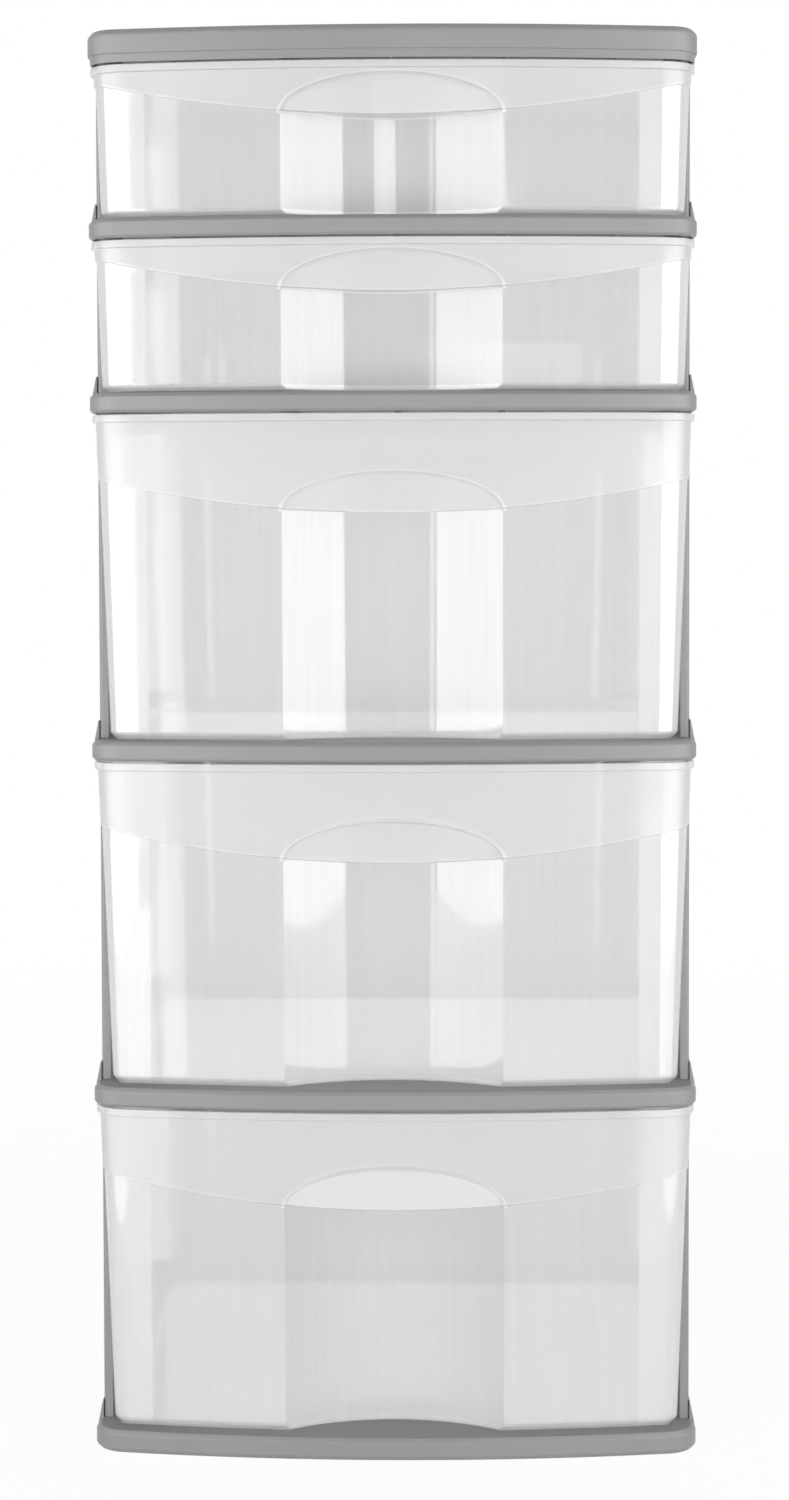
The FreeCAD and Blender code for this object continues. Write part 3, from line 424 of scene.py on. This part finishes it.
@dataclass(frozen=True)
class ClearPlastic:
    """A drawer's clear plastic: polished walls, and a frosted band that ends in the smile line.

    A cover is the share of what lies behind that the plastic hides. The corners of the face, the foot, the
    curtain and the fine lines hide more than the walls and the band, and grazing views more than square ones.

    Attributes:
        name: The material's name.
        low: The drawer's lowest point.
        high: The height of its rim.
        smile: The line in which the band ends.
        arch_painted_shade: How much of the painted shadow colour the arch takes, as painted shade over the
            pull.
        grazing_power: How quickly the cover falls from grazing views to square ones.
        light_share: How much of its cover the plastic keeps for light and reflections.
        band_back: How far back the face's front side reaches.
        band_blur: Half of the height over which the band ends.
        line_core: The share of a line's width over which it is full, on each side of its middle.
        line_end: The share of its width at which it is gone.
        step_share: How much of a line's cover the line at the band's step has.
        arch_gap: How far outside the arch its line runs.
        shadow_line_front: How far back the painted shadow line along the rear lower edge begins.
        shadow_line_height: How far the painted shadow line lies above the lowest point.
        foot_core: The share of the foot's height over which it is full.
        corner_start: How far to the side the fuller corners of the face begin.
        corner_blur: The width over which they do.
        ripple_along_up: The share of the ripples that is left along the height.
        streak_along_up: The same for the streaks.
        streak_start: The noise at which a streak begins to take cover away.
        streak_end: The noise at which it takes the most.
    """

    name: str
    low: float
    high: float
    smile: SmileLine
    arch_painted_shade: float
    arch: PullArch = PullArch()
    curtain: RearCurtain = RearCurtain()
    clear_colour: Colour = (0.925, 0.935, 0.955)
    # The colour of the painted shadow line along the rear lower edge, and of the painted shade over the arch.
    painted_shadow_colour: Colour = (0.22, 0.23, 0.25)
    clear_cover: float = 0.53
    frosted_cover: float = 0.52
    edge_cover: float = 0.97
    grazing_power: float = 1.8
    light_share: float = 0.1
    band_back: float = -0.1458
    band_blur: float = 0.0002
    line_core: float = 0.3
    line_end: float = 0.6
    line_cover: float = 0.45
    step_width: float = 0.0012
    step_share: float = 0.6
    arch_width: float = 0.0020
    arch_gap: float = 0.0012
    shadow_line_width: float = 0.0020
    shadow_line_front: float = 0.120
    shadow_line_height: float = 0.0060
    foot_height: float = 0.0042
    foot_core: float = 0.7
    foot_cover: float = 0.7
    corner_start: float = 0.1275
    corner_blur: float = 0.0025
    corner_cover: float = 0.58
    clear_roughness: float = 0.08
    frosted_roughness: float = 0.42
    frosted_coat: float = 0.25
    coat_roughness: float = 0.03
    refraction: float = 1.5
    sheen: float = 0.9
    sheen_roughness: float = 0.35
    grain_scale: float = 2600.0
    ripple_scale: float = 9.0
    ripple_along_up: float = 0.25
    ripple_height: float = 0.6
    streak_scale: float = 260.0
    streak_detail: float = 3.0
    streak_along_up: float = 0.014
    streak_start: float = 0.38
    streak_end: float = 0.62
    streak_cover: float = 0.03
    streak_height: float = 0.12
    relief_strength: float = 0.12
    relief_height: float = 0.0001

    def line(self, distance: Socket, width: float) -> Socket:
        """Draw a soft line.

        Args:
            distance: The signed distance from the line's middle.
            width: The line's width.

        Returns:
            1 along the line and 0 away from it.
        """
        return 1 - (distance * distance).ramp((width * self.line_core) ** 2, (width * self.line_end) ** 2)

    def cover(self, sheet: NodeSheet, band: Socket, marks: Socket, streaks: Socket) -> Socket:
        """Work out how much of what lies behind the plastic hides.

        Args:
            sheet: The material's nodes.
            band: 1 in the frosted band, else 0.
            marks: 1 where the plastic is at its fullest.
            streaks: The noise of the fine streaks, which only the clear walls have.

        Returns:
            The cover, which is small for light and reflections.
        """
        plain = band * (self.frosted_cover - self.clear_cover) + self.clear_cover
        facing = sheet.add("ShaderNodeLayerWeight", output="Facing")
        grazed = plain + facing ** self.grazing_power * (self.edge_cover - plain)
        marked = grazed + marks * (self.edge_cover - grazed)
        gaps = streaks.ramp(self.streak_start, self.streak_end, 0.0, self.streak_cover)
        streaked = marked * (1 - (1 - band) * gaps)
        indirect = sheet.rays(Ray.SHADOW, Ray.DIFFUSE, Ray.GLOSSY)
        return streaked * (1 - indirect * (1.0 - self.light_share))

    def make(self) -> bpy.types.Material:
        """Build the material.

        Returns:
            The finish of one drawer.
        """
        material, sheet = new_material(self.name)
        across, deep, up = (sheet.along(axis) for axis in Axis)
        front = deep < self.band_back
        outside = self.smile.outside(across, up)
        below = outside.ramp(-self.band_blur, self.band_blur)
        band = (1 - below) * front
        step_line = self.line(outside + self.step_width / 2, self.step_width)
        from_arch, over_foot = self.arch.outside(across, up, self.smile)
        arch_line = self.line(from_arch - self.arch_gap, self.arch_width) * over_foot
        in_arch = (from_arch < 0.0) * over_foot * front
        # A thin line of painted shadow along the rear lower edge, where the floor meets the rear wall; the
        # line also gets fuller cover.
        painted_shadow_line = self.line(up - (self.low + self.shadow_line_height), self.shadow_line_width) * (deep > self.shadow_line_front)
        foot = 1 - up.ramp(self.low + self.foot_height * self.foot_core, self.low + self.foot_height)
        corner_end = self.corner_start + self.corner_blur
        corner = (across * across).ramp(self.corner_start ** 2, corner_end ** 2) * front * below
        curtain = self.curtain.mask(across, deep, up, self.high)
        lines = (step_line * self.step_share + arch_line) * front * self.line_cover + painted_shadow_line
        marks = (lines + foot * self.foot_cover + curtain + corner * self.corner_cover).ramp(0.0, 1.0)
        streaks = sheet.noise(self.streak_scale, self.streak_detail, self.streak_along_up)
        ripple = sheet.noise(self.ripple_scale, along_up=self.ripple_along_up)
        grain = sheet.noise(self.grain_scale)
        relief = grain * band + ripple * self.ripple_height + streaks * self.streak_height
        # Painted shade in the base colour: the painted shadow line along the rear lower edge, and a darker
        # arch over the pull.
        shade = painted_shadow_line + in_arch * self.arch_painted_shade
        surface = sheet.add(
            "ShaderNodeBsdfPrincipled",
            values={
                "Base Color": sheet.tint(self.clear_colour, self.painted_shadow_colour, shade),
                "Roughness": band * (self.frosted_roughness - self.clear_roughness) + self.clear_roughness,
                "IOR": self.refraction,
                "Coat Weight": 1 - band * (1.0 - self.frosted_coat),
                "Coat Roughness": self.coat_roughness,
                "Coat IOR": self.refraction,
                "Sheen Weight": self.sheen,
                "Sheen Roughness": self.sheen_roughness,
                "Alpha": self.cover(sheet, band, marks, streaks),
                "Normal": sheet.bump(relief, self.relief_strength, self.relief_height),
            },
        )
        sheet.finish(surface)
        return material


@dataclass(frozen=True)
class SoftBox:
    """One large soft lamp that hangs round the tower.

    Attributes:
        name: The lamp's name.
        use: What it is there for.
        azimuth: Where it hangs, from the front, positive to the right.
        distance: How far it hangs from the tower's middle.
        height: The height of its middle.
        width: Its width.
        tall: Its length from its top to its foot.
        brightness: The radiance of its face.
        aim_height: What it is aimed at, unless it is there for gloss, when it hangs upright.
    """

    name: str
    use: LampUse
    azimuth: float
    distance: float
    height: float
    width: float
    tall: float
    brightness: float
    aim_height: float = 0.375

    def make(self) -> None:
        """Hang the lamp."""
        turn = math.radians(self.azimuth)
        place = Vector((math.sin(turn) * self.distance, -math.cos(turn) * self.distance, self.height))
        lamp = bpy.data.lights.new(self.name, "AREA")
        lamp.shape = "RECTANGLE"
        lamp.size = self.width
        lamp.size_y = self.tall
        lamp.energy = self.brightness * math.pi * self.width * self.tall
        holder = bpy.data.objects.new(self.name, lamp)
        bpy.context.scene.collection.objects.link(holder)
        aim = Vector((0.0, 0.0, self.aim_height)) - place
        if self.use is LampUse.GLOSS:
            aim.z = 0.0
        holder.matrix_world = Matrix.Translation(place) @ aim.to_track_quat("-Z", "Y").to_matrix().to_4x4()
        holder.visible_camera = False
        holder.visible_diffuse = self.use is not LampUse.GLOSS
        holder.visible_glossy = self.use is not LampUse.LIGHT


def background(sheet: NodeSheet) -> Socket:
    """Return 1 for the rays that show the white background itself, else 0."""
    return sheet.rays(Ray.CAMERA, Ray.GLOSSY, Ray.TRANSMISSION)


@dataclass(frozen=True)
class Floor:
    """The pale floor, which keeps a faint shadow and fades into the white surround.

    Attributes:
        fade_start: How far from the tower the floor begins to turn white.
        fade_end: How far from the tower it is white.
        white_share: How much of the white there is before that.
    """

    size: float = 60.0
    cells: int = 4
    dark: Colour = (0.86, 0.86, 0.86)
    light: Colour = (0.9, 0.9, 0.9)
    mottle_scale: float = 6.0
    mottle_start: float = 0.3
    mottle_end: float = 0.7
    roughness: float = 0.7
    shine: float = 0.2
    fade_start: float = 0.5
    fade_end: float = 2.0
    white_share: float = 0.96

    def make(self) -> None:
        """Lay the floor."""
        mesh = bpy.data.meshes.new("floor")
        shape = bmesh.new()
        bmesh.ops.create_grid(shape, x_segments=self.cells, y_segments=self.cells, size=self.size / 2)
        shape.to_mesh(mesh)
        shape.free()
        mesh.materials.append(self.paint())
        floor = bpy.data.objects.new("floor", mesh)
        bpy.context.scene.collection.objects.link(floor)
        floor.visible_glossy = False

    def paint(self) -> bpy.types.Material:
        """Build the floor's finish.

        Returns:
            The material, which looks white and takes light as a slightly mottled pale grey.
        """
        material, sheet = new_material("floor")
        mottle = sheet.noise(self.mottle_scale).ramp(self.mottle_start, self.mottle_end)
        paint = sheet.add(
            "ShaderNodeBsdfPrincipled",
            values={
                "Base Color": sheet.tint(self.dark, self.light, mottle),
                "Roughness": self.roughness,
                "Specular IOR Level": self.shine,
            },
        )
        white = sheet.add("ShaderNodeEmission", values={"Color": WHITE, "Strength": 1.0})
        across = sheet.along(Axis.ACROSS)
        deep = sheet.along(Axis.DEEP)
        from_tower = (across * across + deep * deep) ** 0.5
        away = from_tower.ramp(self.fade_start, self.fade_end, self.white_share, 1.0)
        mix = sheet.add("ShaderNodeMixShader", values={0: background(sheet) * away, 1: paint, 2: white})
        sheet.finish(mix)
        return material


@dataclass(frozen=True)
class Studio:
    """The camera, the lamps, the white surround and the floor.

    The lens and the sensor are in millimetres, and the shift is a share of the picture's longer side. The
    surround's strength is the light that it gives, and it looks white. Each lamp's numbers are its azimuth,
    distance, height, width, length and brightness.
    """

    camera_place: tuple[float, float, float] = (0.0337, -1.8234, 0.4875)
    yaw: float = 1.139
    pitch: float = 2.374
    roll: float = -0.163
    lens: float = 75.78
    sensor: float = 36.0
    shift: float = -0.0579
    surround: float = 0.24
    see_through_limit: int = 24
    lamps: tuple[SoftBox, ...] = (
        SoftBox("left_softbox", LampUse.LIGHT, -42.0, 1.3, 0.4, 0.7, 1.6, 1.8),
        SoftBox("right_softbox", LampUse.LIGHT, 42.0, 1.3, 0.4, 0.7, 1.6, 1.8),
        SoftBox("front_softbox", LampUse.LIGHT, 1.0, 3.2, 0.42, 1.6, 1.4, 1.99),
        SoftBox("low_softbox", LampUse.LIGHT, -2.0, 1.5, 0.10, 1.6, 0.2, 0.9),
        SoftBox("back_softbox", LampUse.LIGHT, 170.0, 1.8, 0.9, 1.6, 1.6, 1.0),
        SoftBox("top_softbox", LampUse.BOTH, 8.0, 1.1, 2.1, 1.6, 1.0, 0.2),
        SoftBox("left_reflector", LampUse.GLOSS, -56.5, 1.05, 0.90, 1.18, 1.6, 4.4),
        SoftBox("right_reflector", LampUse.GLOSS, 57.0, 1.05, 0.90, 1.15, 1.6, 4.7),
        SoftBox("left_feather", LampUse.GLOSS, -24.3, 1.22, 0.80, 0.055, 1.8, 2.3),
        SoftBox("crown_reflector", LampUse.GLOSS, 3.6, 2.3, 0.85, 0.55, 0.3, 4.0),
        SoftBox("low_left_reflector", LampUse.GLOSS, -56.0, 1.05, -0.01, 1.21, 0.22, 2.1),
        SoftBox("low_right_reflector", LampUse.GLOSS, 57.0, 1.05, -0.01, 1.15, 0.22, 2.1),
    )

    def make(self) -> None:
        """Set up everything round the object."""
        self.add_camera()
        self.add_surround()
        Floor().make()
        for lamp in self.lamps:
            lamp.make()
        scene = bpy.context.scene
        scene.view_settings.view_transform = "Standard"
        scene.cycles.transparent_max_bounces = self.see_through_limit

    def add_camera(self) -> None:
        """Place the camera at the photograph's viewpoint."""
        camera = bpy.data.cameras.new("camera")
        camera.lens = self.lens
        camera.sensor_width = self.sensor
        camera.shift_y = self.shift
        holder = bpy.data.objects.new("camera", camera)
        holder.matrix_world = (
            Matrix.Translation(self.camera_place)
            @ Matrix.Rotation(math.radians(self.yaw), 4, "Z")
            @ Matrix.Rotation(math.radians(90.0 - self.pitch), 4, "X")
            @ Matrix.Rotation(math.radians(self.roll), 4, "Z")
        )
        bpy.context.scene.collection.objects.link(holder)
        bpy.context.scene.camera = holder

    def add_surround(self) -> None:
        """Make the white world."""
        world = bpy.data.worlds.new("surround")
        world.use_nodes = True
        bpy.context.scene.world = world
        sheet = NodeSheet(world.node_tree)
        light = sheet.add("ShaderNodeBackground", values={"Color": WHITE, "Strength": self.surround})
        shown = sheet.add("ShaderNodeBackground", values={"Color": WHITE, "Strength": 1.0})
        sheet.finish(sheet.add("ShaderNodeMixShader", values={0: background(sheet), 1: light, 2: shown}))


def middle_of(edge: bmesh.types.BMEdge) -> Vector:
    """Return the point halfway along an edge."""
    return (edge.verts[0].co + edge.verts[1].co) / 2


class SolidSurface:
    """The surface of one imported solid, whose corner directions are exact."""

    def __init__(self, solid: bpy.types.Mesh) -> None:
        """Index the solid's faces."""
        self.solid = solid
        self.points = [vertex.co for vertex in solid.vertices]
        self.tree = BVHTree.FromPolygons(self.points, [tuple(face.vertices) for face in solid.polygons])

    def direction(self, point: Vector) -> Vector:
        """Find which way the surface faces.

        Args:
            point: A point on the solid or close to it.

        Returns:
            The direction, blended between the corners of the nearest face.
        """
        place, _, index, _ = self.tree.find_nearest(point)
        nearest = self.solid.polygons[index]
        shares = poly_3d_calc([self.points[corner] for corner in nearest.vertices], place)
        direction = Vector()
        for corner, share in zip(nearest.loop_indices, shares):
            direction += self.solid.corner_normals[corner].vector * share
        return direction


@dataclass
class Moulding:
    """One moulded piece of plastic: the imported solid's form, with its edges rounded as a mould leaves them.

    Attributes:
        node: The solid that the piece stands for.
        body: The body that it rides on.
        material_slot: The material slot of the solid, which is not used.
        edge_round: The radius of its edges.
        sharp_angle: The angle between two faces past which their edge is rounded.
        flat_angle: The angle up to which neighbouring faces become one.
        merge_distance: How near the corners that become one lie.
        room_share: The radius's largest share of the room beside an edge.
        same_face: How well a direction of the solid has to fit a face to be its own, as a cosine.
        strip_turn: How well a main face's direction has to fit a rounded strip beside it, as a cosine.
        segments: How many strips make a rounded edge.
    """

    node: str
    body: str
    material_slot: str
    edge_round: float = 0.0005
    sharp_angle: float = 28.0
    flat_angle: float = 0.3
    merge_distance: float = 0.000001
    room_share: float = 0.3
    same_face: float = 0.85
    strip_turn: float = 0.3
    segments: int = 3

    def __post_init__(self) -> None:
        """Look up where the piece lies."""
        self.low, self.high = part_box(self.node)

    def radius(self, edge: bmesh.types.BMEdge) -> float:
        """Return how far one sharp edge is rounded."""
        return self.edge_round

    def build(self, material: bpy.types.Material) -> bpy.types.Object:
        """Make the piece and hang it on its body.

        Args:
            material: The piece's finish.

        Returns:
            The finished piece.
        """
        solid = frame["nodes"][self.node].data
        shape = self.merged(solid)
        largest = self.mark_edges(shape)
        piece = self.as_object(shape, material)
        self.round_edges(piece, largest)
        self.keep_directions(piece.data, SolidSurface(solid))
        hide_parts(self.node)
        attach(piece, self.body)
        return piece

    def merged(self, solid: bpy.types.Mesh) -> bmesh.types.BMesh:
        """Copy the solid as one closed shape.

        Args:
            solid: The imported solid's mesh, which is loose triangles.

        Returns:
            The copy, with its doubles merged and its flat areas dissolved.
        """
        shape = bmesh.new()
        shape.from_mesh(solid)
        bmesh.ops.remove_doubles(shape, verts=shape.verts, dist=self.merge_distance)
        bmesh.ops.dissolve_limit(
            shape, angle_limit=math.radians(self.flat_angle), verts=shape.verts[:], edges=shape.edges[:]
        )
        return shape

    def mark_edges(self, shape: bmesh.types.BMesh) -> float:
        """Give each sharp edge a weight for its rounding, and make every face convex.

        The radii come first, because the edges that split a face would take up their room. The split keeps
        large faces with a hollow corner from folding when their edges are rounded.

        Args:
            shape: The shape, which is changed.

        Returns:
            The largest radius, which a weight of 1 stands for.
        """
        weights = shape.edges.layers.float.new("bevel_weight_edge")
        radii = {
            edge: min(self.radius(edge), self.room(edge) * self.room_share)
            for edge in shape.edges
            if edge.calc_face_angle(0.0) > math.radians(self.sharp_angle)
        }
        bmesh.ops.connect_verts_concave(shape, faces=shape.faces[:])
        largest = max(radii.values())
        for edge, radius in radii.items():
            edge[weights] = radius / largest
        return largest

    def room(self, edge: bmesh.types.BMEdge) -> float:
        """Measure the room beside an edge.

        Args:
            edge: The edge.

        Returns:
            How near the next edge across either of its faces comes to its middle.
        """
        middle = middle_of(edge)
        nearest = math.inf
        for face in edge.link_faces:
            for other in face.edges:
                if set(other.verts) & set(edge.verts):
                    continue
                start, end = (vertex.co for vertex in other.verts)
                share = intersect_point_line(middle, start, end)[1]
                nearest = min(nearest, (start.lerp(end, min(max(share, 0.0), 1.0)) - middle).length)
        return nearest

    def as_object(self, shape: bmesh.types.BMesh, material: bpy.types.Material) -> bpy.types.Object:
        """Turn the shape into an object.

        Args:
            shape: The finished shape, which is freed.
            material: The finish, which goes to both places.

        Returns:
            The object, in the scene and without the solid's own directions.
        """
        for face in shape.faces:
            face.smooth = True
            face.material_index = FacePlace.MAIN
        mesh = bpy.data.meshes.new(self.node)
        shape.to_mesh(mesh)
        shape.free()
        for name in ("custom_normal", "sharp_edge", "sharp_face"):
            if name in mesh.attributes:
                mesh.attributes.remove(mesh.attributes[name])
        for _ in FacePlace:
            mesh.materials.append(material)
        piece = bpy.data.objects.new(f"{self.node}_moulding", mesh)
        bpy.context.scene.collection.objects.link(piece)
        return piece

    def round_edges(self, piece: bpy.types.Object, largest: float) -> None:
        """Round every marked edge, with the strips in their own material place.

        Args:
            piece: The piece, whose mesh is replaced.
            largest: The radius that a weight of 1 stands for.
        """
        bevel = piece.modifiers.new("edge_round", "BEVEL")
        bevel.limit_method = "WEIGHT"
        bevel.width = largest
        bevel.segments = self.segments
        bevel.profile = 0.5
        bevel.material = FacePlace.STRIP
        bevel.use_clamp_overlap = False
        whole = piece.evaluated_get(bpy.context.evaluated_depsgraph_get())
        rounded = bpy.data.meshes.new_from_object(whole)
        piece.modifiers.clear()
        piece.data = rounded

    def keep_directions(self, mesh: bpy.types.Mesh, surface: SolidSurface) -> None:
        """Give the main faces the solid's own directions, and let the strips lead from one to the next.

        The second material place, which told the strips apart, goes.

        Args:
            mesh: The rounded mesh.
            surface: The solid's surface.
        """
        directions = [Vector((0.0, 0.0, 1.0))] * len(mesh.loops)
        at_vertex: dict[int, Vector] = {}
        strips = [face for face in mesh.polygons if face.material_index == FacePlace.STRIP]
        for face in mesh.polygons:
            if face.material_index == FacePlace.STRIP:
                continue
            for loop, vertex in zip(face.loop_indices, face.vertices):
                direction = surface.direction(mesh.vertices[vertex].co).normalized()
                if direction.dot(face.normal) < self.same_face:
                    direction = face.normal.copy()
                directions[loop] = direction
                at_vertex[vertex] = at_vertex.get(vertex, Vector()) + direction
        for face in strips:
            for loop, vertex in zip(face.loop_indices, face.vertices):
                lead = at_vertex.get(vertex, mesh.vertices[vertex].normal).normalized()
                directions[loop] = lead if lead.dot(face.normal) > self.strip_turn else face.normal.copy()
        mesh.polygons.foreach_set("material_index", [FacePlace.MAIN] * len(mesh.polygons))
        mesh.materials.pop(index=FacePlace.STRIP)
        mesh.normals_split_custom_set(directions)


@dataclass
class Shelf(Moulding):
    """A shelf, or the base: its rail is rounded, and the thin collars above it stay crisp.

    Attributes:
        collar_height: How far down the collars reach.
    """

    collar_height: float = 0.0094

    def radius(self, edge: bmesh.types.BMEdge) -> float:
        """Round the outward edges below the collars.

        Args:
            edge: A sharp edge.

        Returns:
            Its radius, or 0 where it stays crisp.
        """
        in_collar = middle_of(edge).z > self.high.z - self.collar_height
        crisp = in_collar or edge.calc_face_angle_signed(0.0) < 0.0
        return 0.0 if crisp else self.edge_round


@dataclass(kw_only=True)
class Drawer(Moulding):
    """A clear drawer with a soft foot, a hooded pull and a frosted band.

    Attributes:
        smile_height: How far the smile line's middle lies above the drawer's lowest point.
        arch_painted_shade: How much painted shade the arch over its pull gets, darker than its band.
        foot_round: The radius of the outward edges along the foot.
        step_round: The radius of the edges at the band's step.
        pull_round: The radius of the outward edges round the pull.
        foot_height: How far up the foot's edges lie.
        step_reach: How far from the smile line the step's edges lie.
        step_back: How far back the step reaches.
        pull_half_width: Half of the width that the pull's edges take up.
        pull_back: How far back those edges lie.
    """

    smile_height: float
    arch_painted_shade: float
    foot_round: float = 0.0013
    step_round: float = 0.0003
    pull_round: float = 0.0009
    foot_height: float = 0.0040
    step_reach: float = 0.002
    step_back: float = -0.1455
    pull_half_width: float = 0.0590
    pull_back: float = -0.1700

    def __post_init__(self) -> None:
        """Look up where the drawer lies, and place its smile line."""
        super().__post_init__()
        self.smile = SmileLine(self.low.z + self.smile_height)

    def finish(self) -> bpy.types.Material:
        """Return the drawer's own clear plastic."""
        name = f"clear_{self.node[-1]}"
        return ClearPlastic(name, self.low.z, self.high.z, self.smile, self.arch_painted_shade).make()

    def radius(self, edge: bmesh.types.BMEdge) -> float:
        """Choose a large radius along the foot and the pull, and a small one at the band's step.

        Args:
            edge: A sharp edge.

        Returns:
            Its radius.
        """
        middle = middle_of(edge)
        bulges = edge.calc_face_angle_signed(0.0) > 0.0
        if middle.z - self.low.z < self.foot_height:
            return self.foot_round if bulges else self.edge_round
        in_pull = abs(middle.x) < self.pull_half_width and middle.y < self.pull_back
        if in_pull and bulges:
            return self.pull_round
        from_smile = abs(math.hypot(middle.x, middle.z - self.smile.centre()) - self.smile.radius)
        if from_smile < self.step_reach and middle.y < self.step_back:
            return self.step_round
        return self.edge_round


@dataclass
class Tower:
    """The whole object: the grey frame and the five drawers.

    Attributes:
        deep_smile: How far the smile line lies above the lowest point of a deep drawer.
        shallow_smile: The same for a shallow drawer.
        shallow_drawers: The drawers that are shallow.
        arch_painted_shade: How much painted shade a drawer's arch gets, darker than its band.
        plain_arches: The drawers whose arch gets no painted shade.
        rail_round: The radius of the edges of the frame.
        lid_round: The radius of the lid's edges.
    """

    deep_smile: float = 0.1192
    shallow_smile: float = 0.0514
    shallow_drawers: tuple[str, ...] = ("drawer_1", "drawer_2")
    arch_painted_shade: float = 0.17
    plain_arches: tuple[str, ...] = ("drawer_5",)
    rail_round: float = 0.0006
    lid_round: float = 0.0012

    def build(self) -> Iterator[tuple[bpy.types.Object, str]]:
        """Make every piece of the frame and every drawer.

        Yields:
            Each finished piece, and the body that it rides on.
        """
        grey = MouldedGrey().make()
        record = frame["record"]
        slots = {part["node"]: part["material_slot"] for part in record["subparts"]}
        for body, nodes in record["behaviour"]["bodies"].items():
            for node in nodes:
                if node.startswith("drawer_"):
                    drawer = self.drawer(node, body, slots[node])
                    yield drawer.build(drawer.finish()), body
                else:
                    yield self.frame_piece(node, body, slots[node], grey), body

    def drawer(self, node: str, body: str, slot: str) -> Drawer:
        """Choose a drawer's smile line and arch.

        Args:
            node: The drawer's node.
            body: The body that it rides on.
            slot: Its material slot.

        Returns:
            The drawer, which isn't built yet.
        """
        smile = self.shallow_smile if node in self.shallow_drawers else self.deep_smile
        # The arch's painted shade, which the plain arches go without.
        shade = 0.0 if node in self.plain_arches else self.arch_painted_shade
        return Drawer(node, body, slot, smile_height=smile, arch_painted_shade=shade)

    def frame_piece(self, node: str, body: str, slot: str, grey: bpy.types.Material) -> bpy.types.Object:
        """Make one piece of the frame.

        Args:
            node: The piece's node.
            body: The body that it rides on.
            slot: Its material slot.
            grey: The frame's finish.

        Returns:
            The finished piece. A back panel isn't seen in gloss.
        """
        kind = Shelf if node == "base" or node.startswith("shelf_") else Moulding
        soft = self.lid_round if node == "top_lid" else self.rail_round
        piece = kind(node, body, slot, edge_round=soft).build(grey)
        piece.visible_glossy = not node.startswith("back_panel")
        return piece


def main() -> None:
    """Build the studio and the tower, and report each piece."""
    Studio().make()
    for piece, body in Tower().build():
        log.info("built %s on %s", piece.name, body)


if __name__ == "__main__":
    logging.basicConfig(level=logging.INFO, format="%(message)s")
    main()
